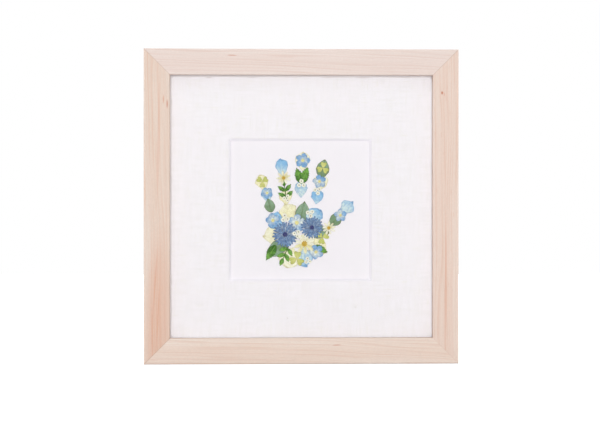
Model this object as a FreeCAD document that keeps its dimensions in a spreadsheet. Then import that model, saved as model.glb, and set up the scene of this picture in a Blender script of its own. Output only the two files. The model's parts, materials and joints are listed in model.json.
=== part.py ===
import FreeCAD, Part
import math
import os
import Sketcher
from FreeCAD import Placement, Rotation, Vector

# A square wooden picture frame that holds a keepsake: pressed flowers laid out as a
# baby's handprint, seen through a bevelled window in a linen mat behind glass.
# X runs to the right, the front faces -Y and Z is up. The origin lies under the middle
# of the frame, on the surface that it stands on. All lengths are in millimetres.
doc = FreeCAD.newDocument("baby_handprint_frame")

# Driving sizes: alias, number and what it measures.
size_rows = [
    ("glass_side", "203.2", "side of the square glass, and of the boards behind it"),
    ("glass_play", "0.8", "gap between the glass and the rabbet wall, all round"),
    ("moulding_width", "19.05", "width of the moulding, seen from the front"),
    ("moulding_depth", "25.4", "depth of the moulding, front to back"),
    ("lip_width", "6.35", "how far the lip reaches over the glass"),
    ("lip_depth", "6.35", "thickness of the lip in front of the glass"),
    ("front_round", "1.2", "radius of the eased front edges"),
    ("back_round", "0.6", "radius of the eased outer back edge"),
    ("cut_overrun", "1", "how far cutters run past what they cut"),
    ("v_nail_depth", "10", "length of a V-nail, driven in from the back"),
    ("v_nail_thickness", "0.7", "sheet thickness of a V-nail"),
    ("v_nail_wing", "4", "reach of each wing of a V-nail, square to the mitre"),
    ("v_nail_sweep", "2", "how far the wings sweep inwards along the mitre"),
    ("v_nail_first", "4.5", "first V-nail, from the outer corner along the mitre"),
    ("v_nail_spacing", "5", "from one V-nail to the next along the mitre"),
    ("glass_thickness", "2", "thickness of the glass"),
    ("linen_thickness", "0.4", "thickness of the linen that faces the mat"),
    ("linen_gap", "0.9", "how far the linen stops short of the sight edge"),
    ("board_thickness", "1.4", "thickness of the mat board"),
    ("window_side", "101.6", "side of the window, at the foot of its bevel"),
    ("window_drop", "2.56", "how far the window lies below the frame's middle"),
    ("window_shift", "0.7", "how far the window lies to the left of it"),
    ("bevel_angle", "45", "slope of the window's bevel, in degrees"),
    ("tape_thickness", "0.1", "thickness of the tape behind the mat"),
    ("tape_width", "12", "width of a strip of tape"),
    ("tape_margin", "3", "from the window's edge to the tape"),
    ("paper_thickness", "0.4", "thickness of the art paper"),
    ("mount_thickness", "1.4", "thickness of the mount board"),
    ("panel_thickness", "3", "thickness of the back panel"),
    ("screw_radius", "1.45", "radius of a screw's shank"),
    ("screw_length", "9.5", "length of a screw under its head"),
    ("screw_head_radius", "2.8", "radius of a screw's pan head"),
    ("screw_head_height", "1.7", "height of a screw's head"),
    ("cross_width", "0.8", "width of each slot of the screw's cross recess"),
    ("cross_length", "3.2", "length of each slot of the recess"),
    ("cross_depth", "0.9", "depth of the recess"),
    ("button_thickness", "1", "thickness of a turn button"),
    ("button_end_radius", "4.5", "radius of a turn button's round end"),
    ("button_tip_radius", "3", "radius of its tip"),
    ("button_reach", "15", "from its screw to the middle of the tip's arc"),
    ("button_fit", "0.05", "running clearance about a turn button"),
    ("button_offset", "62", "turn buttons, from the middle of each rail"),
    ("hanger_length", "44.5", "length of the sawtooth hanger"),
    ("hanger_height", "9.5", "height of its strip"),
    ("hanger_thickness", "0.8", "thickness of its strip"),
    ("hanger_standoff", "1.8", "gap behind the strip for the wall nail"),
    ("hanger_foot", "7", "length of each flat foot of the hanger"),
    ("joggle_angle", "45", "slope of the bends of the hanger, in degrees"),
    ("tooth_pitch", "2.2", "from one notch to the next"),
    ("tooth_depth", "1.5", "depth of a notch"),
    ("tooth_count", "11", "number of notches"),
    ("notch_share", "0.8", "width of a notch as a share of the pitch"),
    ("nail_radius", "0.7", "radius of a hanger nail"),
    ("nail_length", "10", "length of a hanger nail under its head"),
    ("nail_head_radius", "1.5", "radius of its head"),
    ("nail_head_height", "0.6", "thickness of its head"),
    ("nail_fit", "0.05", "clearance of a nail in the hanger's foot"),
    ("bumper_height", "3.2", "height of a wall bumper"),
    ("bumper_base_radius", "5", "radius of a bumper at the wood"),
    ("bumper_top_radius", "3.7", "radius of a bumper at the wall"),
    ("bumper_inset", "22", "bumpers, from the outer side of the frame"),
    ("hand_height", "85.7", "height of the handprint, wrist to middle fingertip"),
    ("petal_thickness", "0.2", "thickness of one pressed petal or leaf"),
]
sizes = doc.addObject("Spreadsheet::Sheet", "sizes")
for row, (alias, number, meaning) in enumerate(size_rows, start=1):
    sizes.set(f"A{row}", alias)
    sizes.set(f"B{row}", number)
    sizes.set(f"C{row}", meaning)
    sizes.setAlias(f"B{row}", alias)
doc.recompute()

# Places that follow from the driving sizes, as formulas on the sheet.
# The wooden part of the moulding behind the lip is called the band.
band = "(sizes.moulding_width - sizes.lip_width)"
outer_side = f"(sizes.glass_side + 2 * sizes.glass_play + 2 * {band})"
sight_side = f"({outer_side} - 2 * sizes.moulding_width)"
middle = f"({outer_side} / 2)"
front_y = "(-(sizes.moulding_depth + sizes.bumper_height) / 2)"
shelf_y = f"({front_y} + sizes.lip_depth)"
back_y = f"({front_y} + sizes.moulding_depth)"

# The stack of sheets in the rabbet, from the glass back to the panel.
linen_y = f"({shelf_y} + sizes.glass_thickness)"
board_y = f"({linen_y} + sizes.linen_thickness)"
tape_y = f"({board_y} + sizes.board_thickness)"
paper_y = f"({tape_y} + sizes.tape_thickness)"
mount_y = f"({paper_y} + sizes.paper_thickness)"
foam_y = f"({mount_y} + sizes.mount_thickness)"
panel_y = f"({back_y} - sizes.panel_thickness)"
foam_thickness = f"(({panel_y} - {foam_y}) / 2)"
window_x = "(-sizes.window_shift)"
window_z = f"({middle} - sizes.window_drop)"

# The four sides, each with the turn about the frame's middle that brings the bottom
# side there. The turn buttons are given by their place along that side and its turn: two
# at the top, beside the hanger, two at the bottom and one at each side.
sides = [("bottom", 0), ("left", 90), ("top", 180), ("right", 270)]
button_places = [
    ("bottom_left", "-sizes.button_offset", 0),
    ("bottom_right", "sizes.button_offset", 0),
    ("left", "0", 90),
    ("top_left", "sizes.button_offset", 180),
    ("top_right", "-sizes.button_offset", 180),
    ("right", "0", 270),
]


def value(formula):
    """The number that a formula on the sheet gives."""
    return float(sizes.evalExpression(formula))


def bind(thing, formulas):
    """Tie properties of an object to formulas on the sheet."""
    for name, formula in formulas.items():
        thing.setExpression(name, formula)


def turned(x, z, angle):
    """Formulas for a point of the bottom side after a turn about the frame's middle."""
    cosine = round(math.cos(math.radians(angle)))
    sine = round(math.sin(math.radians(angle)))
    across = f"({x}) * {cosine} + (({z}) - {middle}) * {sine}"
    upward = f"{middle} - ({x}) * {sine} + (({z}) - {middle}) * {cosine}"
    return across, upward


def set_on_side(thing, x, y, z, angle):
    """Turn a piece made for the bottom side, and set it on the side at that angle."""
    across, upward = turned(x, z, angle)
    thing.Placement = Placement(Vector(), Rotation(Vector(0, 1, 0), angle))
    bind(thing, {"Placement.Base.x": across, "Placement.Base.y": y, "Placement.Base.z": upward})


def new_sketch(body, name, plane_role, offset="0"):
    """A sketch on one of the body's own origin planes, raised along its normal."""
    planes = [plane for plane in body.Origin.OriginFeatures if plane.Role == plane_role]
    sketch = body.newObject("Sketcher::SketchObject", name)
    sketch.AttachmentSupport = [(planes[0], "")]
    sketch.MapMode = "FlatFace"
    sketch.setExpression("AttachmentOffset.Base.z", offset)
    return sketch


def constrain(sketch, formula, kind, *where):
    """Add a dimension to a sketch and tie it to a formula."""
    index = sketch.addConstraint(Sketcher.Constraint(kind, *where, value(formula)))
    sketch.setExpression(f"Constraints[{index}]", formula)


def draw_outline(sketch, corners):
    """Draw a closed outline, counter-clockwise where it has arcs. A corner is (x, y), or
    (x, y, centre x, centre y, radius) where an arc leads on to the next corner."""
    first = sketch.GeometryCount
    points = [Vector(value(corner[0]), value(corner[1]), 0) for corner in corners]
    for corner, start, end in zip(corners, points, points[1:] + points[:1]):
        if len(corner) == 2:
            sketch.addGeometry(Part.LineSegment(start, end), False)
            continue
        centre = Vector(value(corner[2]), value(corner[3]), 0)
        circle = Part.Circle(centre, Vector(0, 0, 1), value(corner[4]))
        angles = [math.atan2(point.y - centre.y, point.x - centre.x) for point in (start, end)]
        sketch.addGeometry(Part.ArcOfCircle(circle, *angles), False)
    for place, corner in enumerate(corners):
        edge = first + place
        following = first + (place + 1) % len(corners)
        sketch.addConstraint(Sketcher.Constraint("Coincident", edge, 2, following, 1))
        constrain(sketch, corner[0], "DistanceX", -1, 1, edge, 1)
        constrain(sketch, corner[1], "DistanceY", -1, 1, edge, 1)
        if len(corner) > 2:
            constrain(sketch, corner[4], "Radius", edge)


def draw_circle(sketch, x, y, radius):
    """Draw a circle for a hole."""
    centre = Vector(value(x), value(y), 0)
    edge = sketch.addGeometry(Part.Circle(centre, Vector(0, 0, 1), value(radius)), False)
    constrain(sketch, x, "DistanceX", -1, 1, edge, 3)
    constrain(sketch, y, "DistanceY", -1, 1, edge, 3)
    constrain(sketch, radius, "Radius", edge)


def pad(sketch, name, length, symmetric=False, reverse=False):
    """Pad a sketch in its own body."""
    body = sketch.getParentGeoFeatureGroup()
    feature = body.newObject("PartDesign::Pad", name)
    feature.Profile = sketch
    feature.Midplane = symmetric
    feature.Reversed = reverse
    feature.setExpression("Length", length)
    doc.recompute()


def pocket(sketch, name, depth=None, reverse=False):
    """Cut a sketch out of its own body, right through both ways where no depth is given,
    and make sure that it took some of the solid away."""
    body = sketch.getParentGeoFeatureGroup()
    before = body.Shape.Volume
    feature = body.newObject("PartDesign::Pocket", name)
    feature.Profile = sketch
    if depth is None:
        feature.Type = "ThroughAll"
        feature.Midplane = True
    else:
        feature.Reversed = reverse
        feature.setExpression("Length", depth)
    doc.recompute()
    if body.Shape.Volume >= before:
        raise RuntimeError(f"{name} cuts nothing")
    return feature


def revolve(body, corners):
    """Turn an outline about the body's Y axis."""
    sketch = new_sketch(body, body.Label + "_profile", "XY_Plane")
    draw_outline(sketch, corners)
    feature = body.newObject("PartDesign::Revolution", body.Label + "_turned")
    feature.Profile = sketch
    feature.ReferenceAxis = (sketch, ["V_Axis"])
    doc.recompute()


def grouped(name, shapes):
    """One sub-part that holds several like solids."""
    group = doc.addObject("Part::Feature", name)
    group.Shape = Part.makeCompound(shapes)
    return group


def copies_on_sides(shape, places, y):
    """Copies of a shape at places given for the bottom side, on the sides they name."""
    made = []
    for x, z, angle in places:
        across, upward = turned(x, z, angle)
        copy = shape.copy()
        turn = Rotation(Vector(0, 1, 0), angle)
        copy.Placement = Placement(Vector(value(across), value(y), value(upward)), turn)
        made.append(copy)
    return made


parts = []

# The mitred rails. A length of rabbeted moulding is cut off square to the mitre at both
# ends, slotted for its V-nails and drilled for the screws and nails in its back.
moulding_outline = [
    (f"{front_y} + sizes.front_round", "0"),
    (f"{back_y} - sizes.back_round", "0",
     f"{back_y} - sizes.back_round", "sizes.back_round", "sizes.back_round"),
    (back_y, "sizes.back_round"),
    (back_y, band),
    (shelf_y, band),
    (shelf_y, "sizes.moulding_width"),
    (f"{front_y} + sizes.front_round", "sizes.moulding_width",
     f"{front_y} + sizes.front_round", "sizes.moulding_width - sizes.front_round",
     "sizes.front_round"),
    (front_y, "sizes.moulding_width - sizes.front_round"),
    (front_y, "sizes.front_round",
     f"{front_y} + sizes.front_round", "sizes.front_round", "sizes.front_round"),
]
nail_offset = "((sizes.hanger_length - sizes.hanger_foot) / 2)"
screw_grip = "(sizes.screw_length - sizes.button_thickness - 2 * sizes.button_fit)"
nail_grip = "(sizes.nail_length - sizes.hanger_thickness)"


def v_nail_outline(start):
    """Corners of a V-nail across the mitre at the left end of the bottom rail."""
    inner = f"({start} + sizes.v_nail_thickness)"
    swept = "sizes.v_nail_sweep"
    wing = "sizes.v_nail_wing"
    along_and_across = [
        (start, "0"), (f"({start} + {swept})", wing), (f"({inner} + {swept})", wing),
        (inner, "0"), (f"({inner} + {swept})", f"(-{wing})"), (f"({start} + {swept})", f"(-{wing})"),
    ]
    return [
        (f"-{middle} + ({along} - {across}) * cos(45)", f"({along} + {across}) * sin(45)")
        for along, across in along_and_across
    ]


v_nail_outlines = [
    v_nail_outline("sizes.v_nail_first"),
    v_nail_outline("(sizes.v_nail_first + sizes.v_nail_spacing)"),
]
for side, angle in sides:
    name = side + "_rail"
    rail = doc.addObject("PartDesign::Body", name)
    profile = new_sketch(rail, name + "_profile", "YZ_Plane")
    draw_outline(profile, moulding_outline)
    pad(profile, name + "_moulding", outer_side, symmetric=True)

    mitres = new_sketch(rail, name + "_mitre_lines", "XZ_Plane")
    slots = new_sketch(rail, name + "_v_nail_lines", "XZ_Plane", f"-{back_y}")
    for hand in ("-", ""):
        outside = f"{hand}({middle} + sizes.cut_overrun)"
        inside = f"{hand}({middle} - sizes.moulding_width - sizes.cut_overrun)"
        above = "sizes.moulding_width + sizes.cut_overrun"
        draw_outline(mitres, [(outside, "-sizes.cut_overrun"), (inside, above), (outside, above)])
        for outline in v_nail_outlines:
            flip = "" if hand else "-"
            draw_outline(slots, [(f"{flip}({x})", z) for x, z in outline])
    pocket(mitres, name + "_mitres")
    pocket(slots, name + "_v_nail_slots", "sizes.v_nail_depth", reverse=True)

    screw_holes = new_sketch(rail, name + "_screw_lines", "XZ_Plane", f"-{back_y}")
    for button_name, button_x, button_angle in button_places:
        if button_angle == angle:
            draw_circle(screw_holes, button_x, f"{band} / 2", "sizes.screw_radius")
    pocket(screw_holes, name + "_screw_holes", screw_grip, reverse=True)
    if side == "top":
        nail_holes = new_sketch(rail, name + "_nail_lines", "XZ_Plane", f"-{back_y}")
        for hand in ("-", ""):
            draw_circle(nail_holes, f"{hand}{nail_offset}", f"{band} / 2", "sizes.nail_radius")
        pocket(nail_holes, name + "_nail_holes", nail_grip, reverse=True)
    set_on_side(rail, "0", "0", "0", angle)
    parts.append(rail)

# V-nails, driven into the back of each corner across the mitre, flush with the wood.
v_nails = []
for outline in v_nail_outlines:
    corners = [Vector(value(x), 0, value(z)) for x, z in outline]
    plan = Part.Face(Part.makePolygon(corners + corners[:1]))
    v_nail = plan.extrude(Vector(0, -value("sizes.v_nail_depth"), 0))
    places = [("0", "0", angle) for side, angle in sides]
    v_nails += copies_on_sides(v_nail, places, back_y)
parts.append(grouped("corner_v_nails", v_nails))


def sheet_box(name, side, y, thickness):
    """A square sheet in the rabbet, centred on the frame."""
    box = doc.addObject("Part::Box", name)
    bind(box, {
        "Length": side, "Width": thickness, "Height": side,
        "Placement.Base.x": f"-{side} / 2",
        "Placement.Base.y": y,
        "Placement.Base.z": f"{middle} - {side} / 2",
    })
    return box


# Glass, then the mat: linen glued to a board, with one bevelled window cut through both.
parts.append(sheet_box("glazing", "sizes.glass_side", shelf_y, "sizes.glass_thickness"))
linen_side = f"({sight_side} - 2 * sizes.linen_gap)"
linen_blank = sheet_box("linen_blank", linen_side, linen_y, "sizes.linen_thickness")
board_blank = sheet_box("board_blank", "sizes.glass_side", board_y, "sizes.board_thickness")
bevel_cutter = doc.addObject("Part::Wedge", "bevel_cutter")
bevel_run = "tan(sizes.bevel_angle)"
foot_half = f"(sizes.window_side / 2 - sizes.cut_overrun * {bevel_run})"
mouth_depth = "(sizes.linen_thickness + sizes.board_thickness + sizes.cut_overrun)"
mouth_half = f"(sizes.window_side / 2 + {mouth_depth} * {bevel_run})"
bind(bevel_cutter, {
    "Xmin": f"-{mouth_half}", "Xmax": mouth_half, "Zmin": f"-{mouth_half}", "Zmax": mouth_half,
    "X2min": f"-{foot_half}", "X2max": foot_half, "Z2min": f"-{foot_half}", "Z2max": foot_half,
    "Ymin": f"{linen_y} - sizes.cut_overrun", "Ymax": f"{tape_y} + sizes.cut_overrun",
    "Placement.Base.x": window_x, "Placement.Base.z": window_z,
})
for name, blank in (("mat_linen", linen_blank), ("mat_board", board_blank)):
    mat = doc.addObject("Part::Cut", name)
    mat.Base = blank
    mat.Tool = bevel_cutter
    parts.append(mat)

# Four strips of double-sided tape hold the art paper behind the window, end to side.
tape_half = "(sizes.window_side / 2 + sizes.tape_margin)"
strips = []
for turn_number in range(4):
    strip = doc.addObject("Part::Box", f"tape_strip_{turn_number + 1}")
    angle = 90 * turn_number
    cosine = round(math.cos(math.radians(angle)))
    sine = round(math.sin(math.radians(angle)))
    outer_half = f"({tape_half} + sizes.tape_width)"
    strip.Placement = Placement(Vector(), Rotation(Vector(0, 1, 0), angle))
    bind(strip, {
        "Length": f"{tape_half} + {outer_half}",
        "Width": "sizes.tape_thickness",
        "Height": "sizes.tape_width",
        "Placement.Base.x": f"{window_x} - {outer_half} * {cosine} - {outer_half} * {sine}",
        "Placement.Base.y": tape_y,
        "Placement.Base.z": f"{window_z} + {outer_half} * {sine} - {outer_half} * {cosine}",
    })
    strips.append(strip)
mat_tape = doc.addObject("Part::Compound", "mat_tape")
mat_tape.Links = strips
parts.append(mat_tape)

# Behind the mat: art paper, its mount, two foam boards that fill the depth, the panel.
parts.append(sheet_box("art_paper", "sizes.glass_side", paper_y, "sizes.paper_thickness"))
parts.append(sheet_box("mount_board", "sizes.glass_side", mount_y, "sizes.mount_thickness"))
parts.append(sheet_box("foam_board_front", "sizes.glass_side", foam_y, foam_thickness))
rear_foam_y = f"({foam_y} + {foam_thickness})"
parts.append(sheet_box("foam_board_back", "sizes.glass_side", rear_foam_y, foam_thickness))
parts.append(sheet_box("back_panel", "sizes.glass_side", panel_y, "sizes.panel_thickness"))

# Turn buttons. Each is a flat teardrop that turns on its screw, and at rest its tip
# lies over the back panel and holds it in.
taper = "((sizes.button_end_radius - sizes.button_tip_radius) / sizes.button_reach)"
facing = f"sqrt(1 - {taper} ^ 2)"
end_x = f"sizes.button_end_radius * {facing}"
end_z = f"sizes.button_end_radius * {taper}"
tip_x = f"sizes.button_tip_radius * {facing}"
tip_z = f"sizes.button_reach + sizes.button_tip_radius * {taper}"
button_outline = [
    (end_x, end_z),
    (tip_x, tip_z, "0", "sizes.button_reach", "sizes.button_tip_radius"),
    (f"-{tip_x}", tip_z),
    (f"-{end_x}", end_z, "0", "0", "sizes.button_end_radius"),
]
for place_name, x, angle in button_places:
    name = "turn_button_" + place_name
    button = doc.addObject("PartDesign::Body", name)
    plan = new_sketch(button, name + "_plan", "XZ_Plane")
    draw_outline(plan, button_outline)
    draw_circle(plan, "0", "0", "sizes.screw_radius + sizes.button_fit")
    pad(plan, name + "_plate", "sizes.button_thickness", reverse=True)
    set_on_side(button, x, f"{back_y} + sizes.button_fit", f"{band} / 2", angle)
    parts.append(button)

# The pan-head screws that the turn buttons turn on, each with a cross recess.
screw = doc.addObject("PartDesign::Body", "screw")
revolve(screw, [
    ("0", "-sizes.screw_length"),
    ("sizes.screw_radius", "-sizes.screw_length"),
    ("sizes.screw_radius", "0"),
    ("sizes.screw_head_radius", "0"),
    ("sizes.screw_head_radius", "sizes.screw_head_height"),
    ("0", "sizes.screw_head_height"),
])
cross_lines = new_sketch(screw, "screw_cross_lines", "XZ_Plane", "-sizes.screw_head_height")
slot_half, slot_end = "(sizes.cross_width / 2)", "(sizes.cross_length / 2)"
arm = [(slot_end, f"-{slot_half}"), (slot_end, slot_half), (slot_half, slot_half)]
cross = []
for cosine, sine in ((1, 0), (0, 1), (-1, 0), (0, -1)):
    cross += [(f"{x} * {cosine} - {z} * {sine}", f"{x} * {sine} + {z} * {cosine}") for x, z in arm]
draw_outline(cross_lines, cross)
pocket(cross_lines, "screw_cross", "sizes.cross_depth", reverse=True)
head_y = f"({back_y} + sizes.button_thickness + 2 * sizes.button_fit)"
screw_places = [(x, f"{band} / 2", angle) for place_name, x, angle in button_places]
parts.append(grouped("turn_button_screws", copies_on_sides(screw.Shape, screw_places, head_y)))

# The sawtooth hanger: a strip bent out from the rail between two flat feet, with a row
# of notches in its lower edge for the wall nail.
hanger = doc.addObject("PartDesign::Body", "sawtooth_hanger")
bend_x = "(sizes.hanger_length / 2 - sizes.hanger_foot)"
strip_x = f"({bend_x} - sizes.hanger_standoff / tan(sizes.joggle_angle))"
bend_shift = "sizes.hanger_thickness * tan(sizes.joggle_angle / 2)"
strip_y = "sizes.hanger_standoff + sizes.hanger_thickness"
right_half = [
    (strip_x, "sizes.hanger_standoff"),
    (bend_x, "0"),
    ("(sizes.hanger_length / 2)", "0"),
    ("(sizes.hanger_length / 2)", "sizes.hanger_thickness"),
    (f"({bend_x} + {bend_shift})", "sizes.hanger_thickness"),
    (f"({strip_x} + {bend_shift})", strip_y),
]
left_half = [(f"-{x}", y) for x, y in reversed(right_half)]
bends = new_sketch(hanger, "hanger_bends", "XY_Plane")
draw_outline(bends, right_half + left_half)
pad(bends, "hanger_strip", "sizes.hanger_height", symmetric=True)
foot_holes = new_sketch(hanger, "hanger_foot_hole_lines", "XZ_Plane")
for hand in ("-", ""):
    draw_circle(foot_holes, f"{hand}{nail_offset}", "0", "sizes.nail_radius + sizes.nail_fit")
pocket(foot_holes, "hanger_foot_holes")
notch_line = new_sketch(hanger, "hanger_notch_line", "XZ_Plane")
notch_x = "(-(sizes.tooth_count - 1) / 2 * sizes.tooth_pitch)"
notch_half = "sizes.tooth_pitch * sizes.notch_share / 2"
draw_outline(notch_line, [
    (f"{notch_x} - {notch_half}", "-sizes.hanger_height / 2 - sizes.cut_overrun"),
    (f"{notch_x} + {notch_half}", "-sizes.hanger_height / 2 - sizes.cut_overrun"),
    (notch_x, "-sizes.hanger_height / 2 + sizes.tooth_depth"),
])
notch = pocket(notch_line, "hanger_notch")
volume_with_one_notch = hanger.Shape.Volume
teeth = hanger.newObject("PartDesign::LinearPattern", "hanger_teeth")
teeth.Originals = [notch]
teeth.Direction = (notch_line, ["H_Axis"])
bind(teeth, {"Length": "(sizes.tooth_count - 1) * sizes.tooth_pitch", "Occurrences": "sizes.tooth_count"})
hanger.Tip = teeth
doc.recompute()
if hanger.Shape.Volume >= volume_with_one_notch:
    raise RuntimeError("the pattern of notches cuts nothing")
bind(hanger, {"Placement.Base.y": back_y, "Placement.Base.z": f"{outer_side} - {band} / 2"})
parts.append(hanger)

# Two nails through the feet of the hanger.
nail = doc.addObject("PartDesign::Body", "nail")
revolve(nail, [
    ("0", "-sizes.nail_length"),
    ("sizes.nail_radius", "-sizes.nail_length"),
    ("sizes.nail_radius", "0"),
    ("sizes.nail_head_radius", "0"),
    ("sizes.nail_head_radius", "sizes.nail_head_height"),
    ("0", "sizes.nail_head_height"),
])
nail_places = [(f"-{nail_offset}", f"{band} / 2", 180), (nail_offset, f"{band} / 2", 180)]
nail_head_y = f"{back_y} + sizes.hanger_thickness"
parts.append(grouped("hanger_nails", copies_on_sides(nail.Shape, nail_places, nail_head_y)))

# Rubber bumpers at the foot of the back keep the frame off the wall.
for name, hand in (("wall_bumper_left", "-"), ("wall_bumper_right", "")):
    bumper = doc.addObject("PartDesign::Body", name)
    revolve(bumper, [
        ("0", "0"),
        ("sizes.bumper_base_radius", "0"),
        ("sizes.bumper_top_radius", "sizes.bumper_height"),
        ("0", "sizes.bumper_height"),
    ])
    bind(bumper, {
        "Placement.Base.x": f"{hand}({middle} - sizes.bumper_inset)",
        "Placement.Base.y": back_y,
        "Placement.Base.z": f"{band} / 2",
    })
    parts.append(bumper)


def flat_face(points):
    """A face in the plane of the paper."""
    corners = [Vector(x, 0, z) for x, z in points]
    return Part.Face(Part.makePolygon(corners + corners[:1]))


def around(radius, degrees):
    """A point at a distance and a direction from the middle of a flower."""
    return radius * math.cos(math.radians(degrees)), radius * math.sin(math.radians(degrees))


# Outlines of the pressed pieces. Each starts at the origin, or is centred on it, and
# points along X. Its points come from a formula, or are shares of its radius.


def blade(length, width, broadest_share, roundness, steps):
    """A petal or a leaf: how far along it is broadest, and how round its ends are."""
    skew = math.log(0.5) / math.log(broadest_share)
    edge = []
    for step in range(steps + 1):
        along = (1 - math.cos(math.pi * step / steps)) / 2
        half = math.sin(math.pi * along ** skew) ** roundness if 0 < step < steps else 0
        edge.append((along * length, half * width / 2))
    return [flat_face(edge + [(x, -z) for x, z in reversed(edge[1:-1])])]


def petal(length, width):
    """A broad petal with a round end."""
    return blade(length, width, broadest_share=0.62, roundness=0.6, steps=8)


def leaf(length, width):
    """A pointed leaf."""
    return blade(length, width, broadest_share=0.45, roundness=0.9, steps=6)


def bloom(length, width, petal_count=5, valley_share=0.5, roundness=0.6, steps=6):
    """A small open flower with five round petals."""
    points = []
    for step in range(petal_count * steps):
        swell = abs(math.cos(math.pi * step / steps)) ** roundness
        radius = length / 2 * (valley_share + (1 - valley_share) * swell)
        points.append(around(radius, 360 * step / (petal_count * steps)))
    return [flat_face(points)]


def rayed(length, ray_count, ray_shares):
    """A flower with like rays. The shares give each point's radius and its turn from the
    ray's middle line."""
    step = 360 / ray_count
    return [flat_face([
        around(length / 2 * radius_share, (number + turn_share / 2) * step)
        for number in range(ray_count) for radius_share, turn_share in ray_shares
    ])]


daisy_ray_shares = [(0.3, -1), (0.8, -0.75), (0.97, -0.35), (0.97, 0.35), (0.8, 0.75)]
cornflower_ray_shares = [(0.28, -1), (0.95, -0.7), (0.8, -0.3), (1, 0), (0.8, 0.3), (0.95, 0.7)]
clover_leaf_shares = [(0.08, -0.95), (0.62, -0.62), (0.86, -0.6), (0.98, -0.4), (0.96, -0.2), (0.8, 0),
                      (0.96, 0.2), (0.98, 0.4), (0.86, 0.6), (0.62, 0.62)]


def daisy(length, width):
    """A daisy with nine rays."""
    return rayed(length, 9, daisy_ray_shares)


def cornflower(length, width):
    """A cornflower with eight notched florets."""
    return rayed(length, 8, cornflower_ray_shares)


def clover(length, width):
    """A clover leaf with three heart-shaped leaflets."""
    return rayed(length, 3, clover_leaf_shares)


# Leaflets of a sprig: where each leaves the stem, its direction, length and width.
sprig_leaflet_shares = [(0.12, 55, 0.42, 0.2), (0.12, -55, 0.42, 0.2), (0.4, 48, 0.42, 0.2),
                        (0.4, -48, 0.42, 0.2), (0.62, 0, 0.4, 0.2)]
sprig_stem_shares = [(0, 0.02), (0.9, 0.012), (0.9, -0.012), (0, -0.02)]


def sprig(length, width):
    """A stem with five leaflets, in one piece."""
    stem = flat_face([(x * length, z * length) for x, z in sprig_stem_shares])
    leaflets = []
    for along, turn, leaflet_length, leaflet_width in sprig_leaflet_shares:
        leaflet, = leaf(leaflet_length * length, leaflet_width * length)
        leaflet.Placement = Placement(Vector(along * length, 0, 0), Rotation(Vector(0, 1, 0), -turn))
        leaflets.append(leaflet)
    return Part.Shell(stem.fuse(leaflets).Faces).removeSplitter().Faces


bud_radius_share, bud_ring_share = 0.23, 0.27


def disc(radius, x=0, z=0, corner_count=8):
    """A small round face."""
    rim = [around(radius, 360 * corner / corner_count) for corner in range(corner_count)]
    return flat_face([(x + rim_x, z + rim_z) for rim_x, rim_z in rim])


def buds(length, width):
    """Three round buds in a cluster."""
    centres = [around(length * bud_ring_share, 120 * number + 30) for number in range(3)]
    return [disc(length * bud_radius_share, x, z) for x, z in centres]


# Each kind of piece: its outline, its sub-part, and the radius of its eye as a share of
# the flower's width, where it has one.
kinds = {
    "blue_petal": (petal, "blue_petals", 0),
    "cream_petal": (petal, "cream_petals", 0),
    "sage": (leaf, "sage_leaves", 0),
    "leaf": (leaf, "green_leaves", 0),
    "sprig": (sprig, "fern_sprigs", 0),
    "cornflower": (cornflower, "cornflowers", 0.12),
    "daisy": (daisy, "cream_daisies", 0.13),
    "bloom": (bloom, "blue_blooms", 0.12),
    "clover": (clover, "lime_clovers", 0),
    "buds": (buds, "white_buds", 0),
}

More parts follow.
